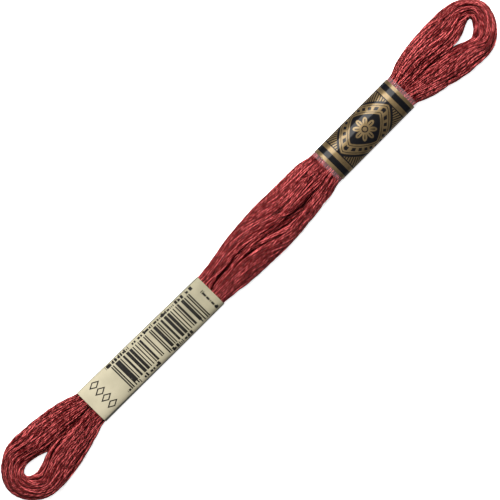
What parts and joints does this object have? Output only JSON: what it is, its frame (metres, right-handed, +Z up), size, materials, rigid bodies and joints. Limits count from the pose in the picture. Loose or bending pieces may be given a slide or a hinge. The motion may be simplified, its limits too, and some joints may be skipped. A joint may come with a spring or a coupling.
{
  "type": "skein of embroidery floss",
  "caption": "Flat-lying hank of stranded embroidery floss, held by two paper bands, with a small open eye at each end.",
  "frame": {"origin": "centre of the skein's length and width, on the surface it lies on", "axes": "+X along the skein towards its short band, +Z up out of the surface it lies on"},
  "size_m": [0.1664, 0.0172, 0.0059],
  "materials": {
    "floss": "mercerised cotton thread, soft lustre",
    "label_paper": "cream coated paper, satin, with black print",
    "band_paper": "glossy black paper with metallic gold print"
  },
  "bodies": {
    "root": {"floss_skein": "floss", "long_label": "label_paper", "short_band": "band_paper"}
  },
  "joints": []
}
